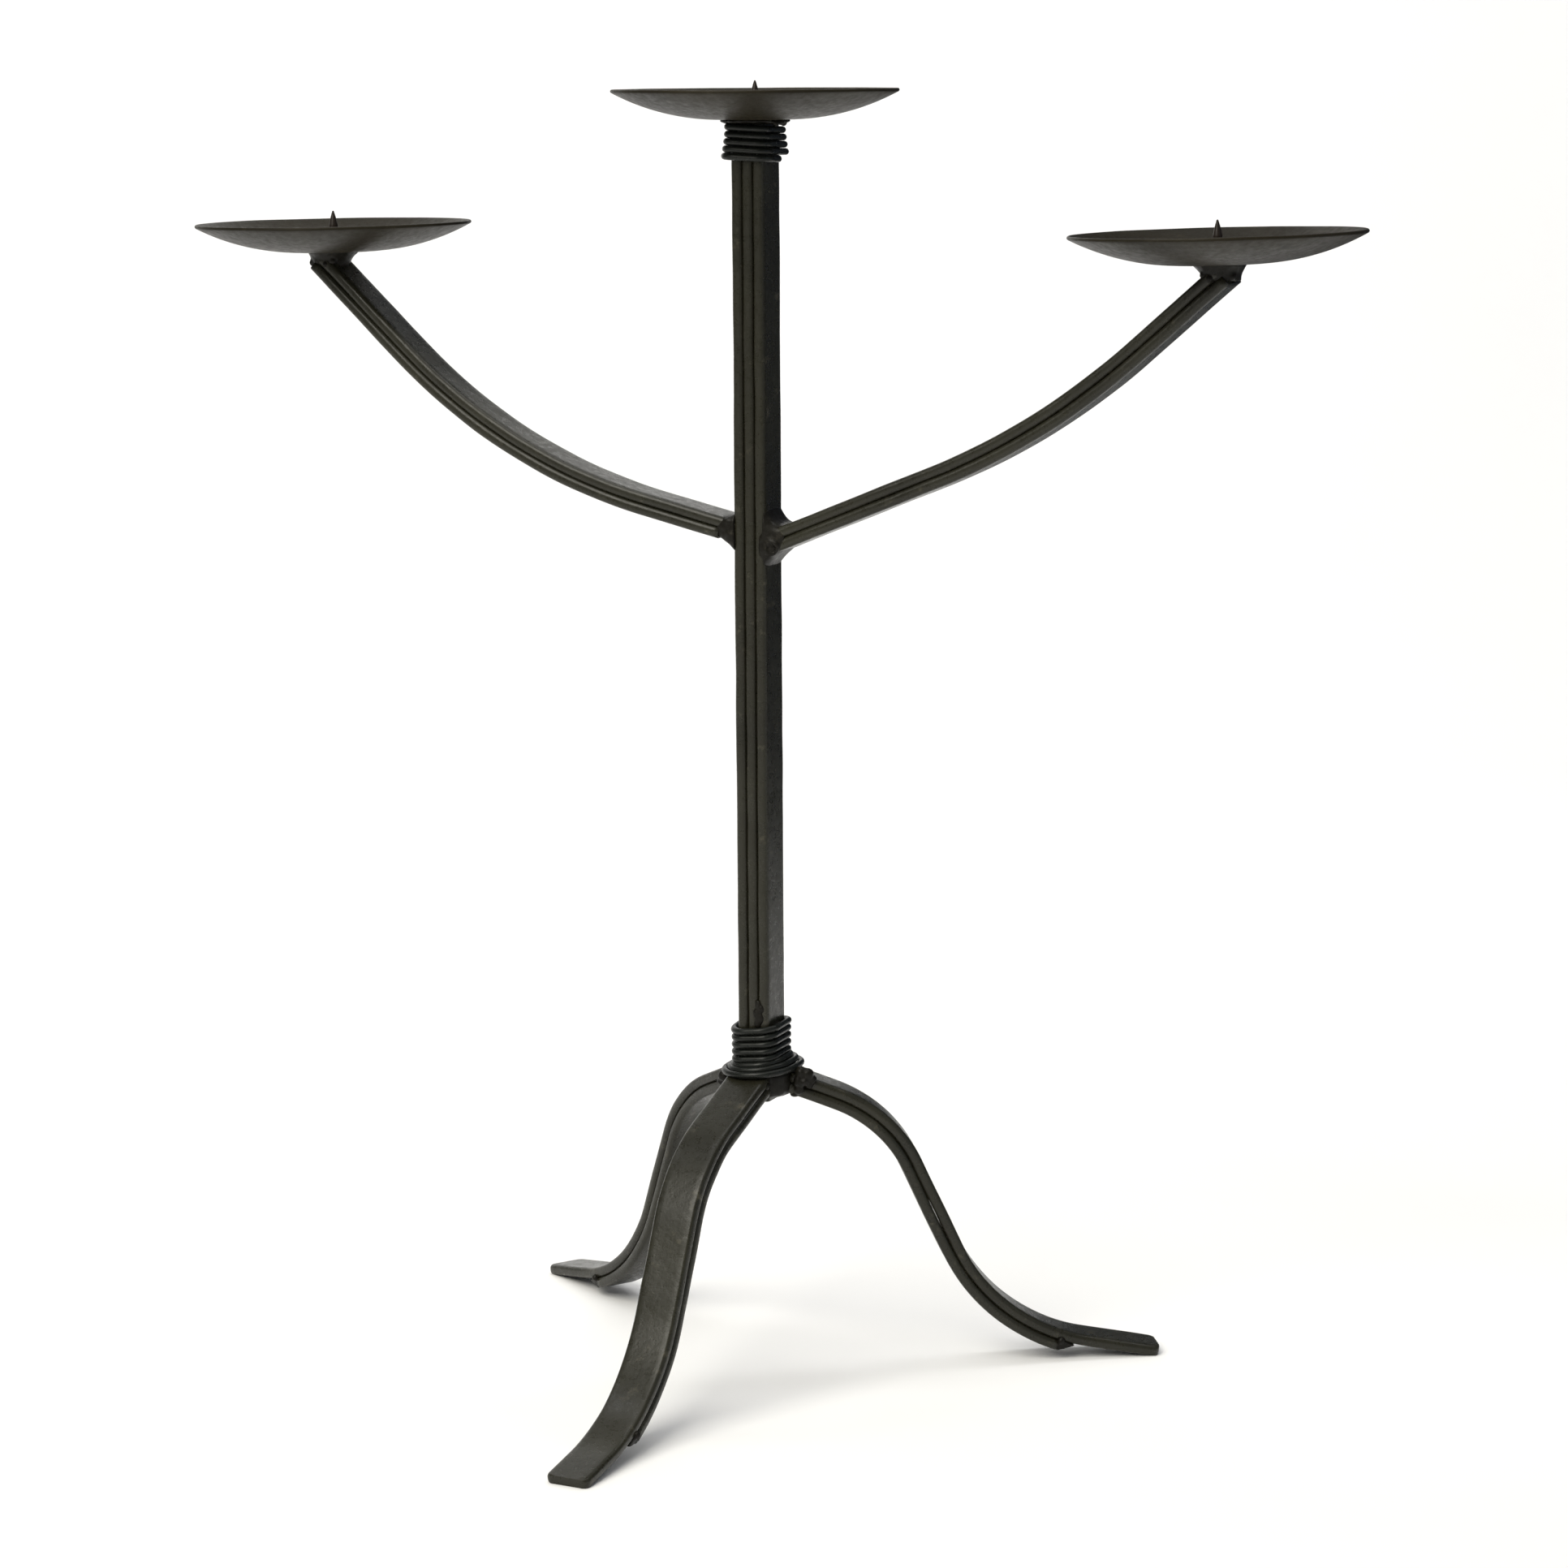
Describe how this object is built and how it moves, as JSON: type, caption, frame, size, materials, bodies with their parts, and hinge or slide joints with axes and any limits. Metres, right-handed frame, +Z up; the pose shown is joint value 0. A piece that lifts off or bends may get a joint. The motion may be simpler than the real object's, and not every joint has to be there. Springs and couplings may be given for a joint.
{
  "type": "candelabrum",
  "caption": "Wrought candelabrum in dark paint: laminated bar stem, upswept arms with drip pans and spikes, wire-wrapped base on splayed legs.",
  "frame": {"origin": "on the floor, directly under the axis of the stem", "axes": "+Z up the stem; +X along the right arm and -X along the left arm; +Y towards the back, between the right and back legs; -Y towards the front leg"},
  "size_m": [0.4348, 0.2332, 0.4615],
  "materials": {
    "bar_paint": "satin black paint over steel flat bar",
    "pan_paint": "satin black paint over pressed steel sheet",
    "spike_paint": "satin black paint over steel wire, worn at the point",
    "wire_paint": "satin black paint over steel wire",
    "weld_paint": "satin black paint over rough weld metal"
  },
  "bodies": {
    "root": {"stem_bar_left": "bar_paint", "stem_bar_middle": "bar_paint", "stem_bar_right": "bar_paint", "left_arm_upper_bar": "bar_paint", "left_arm_lower_bar": "bar_paint", "right_arm_upper_bar": "bar_paint", "right_arm_lower_bar": "bar_paint", "front_leg_outer_bar": "bar_paint", "front_leg_inner_bar": "bar_paint", "right_leg_outer_bar": "bar_paint", "right_leg_inner_bar": "bar_paint", "back_leg_outer_bar": "bar_paint", "back_leg_inner_bar": "bar_paint", "centre_pan": "pan_paint", "left_pan": "pan_paint", "right_pan": "pan_paint", "centre_spike": "spike_paint", "left_spike": "spike_paint", "right_spike": "spike_paint", "top_wire_wrap": "wire_paint", "base_wire_wrap": "wire_paint", "centre_pan_weld": "weld_paint", "left_pan_weld": "weld_paint", "right_pan_weld": "weld_paint", "left_arm_weld": "weld_paint", "right_arm_weld": "weld_paint", "leg_hub_weld": "weld_paint", "front_leg_weld": "weld_paint", "right_leg_weld": "weld_paint", "back_leg_weld": "weld_paint", "front_leg_end_weld": "weld_paint", "right_leg_end_weld": "weld_paint", "back_leg_end_weld": "weld_paint", "stem_seam_weld": "weld_paint"}
  },
  "joints": []
}
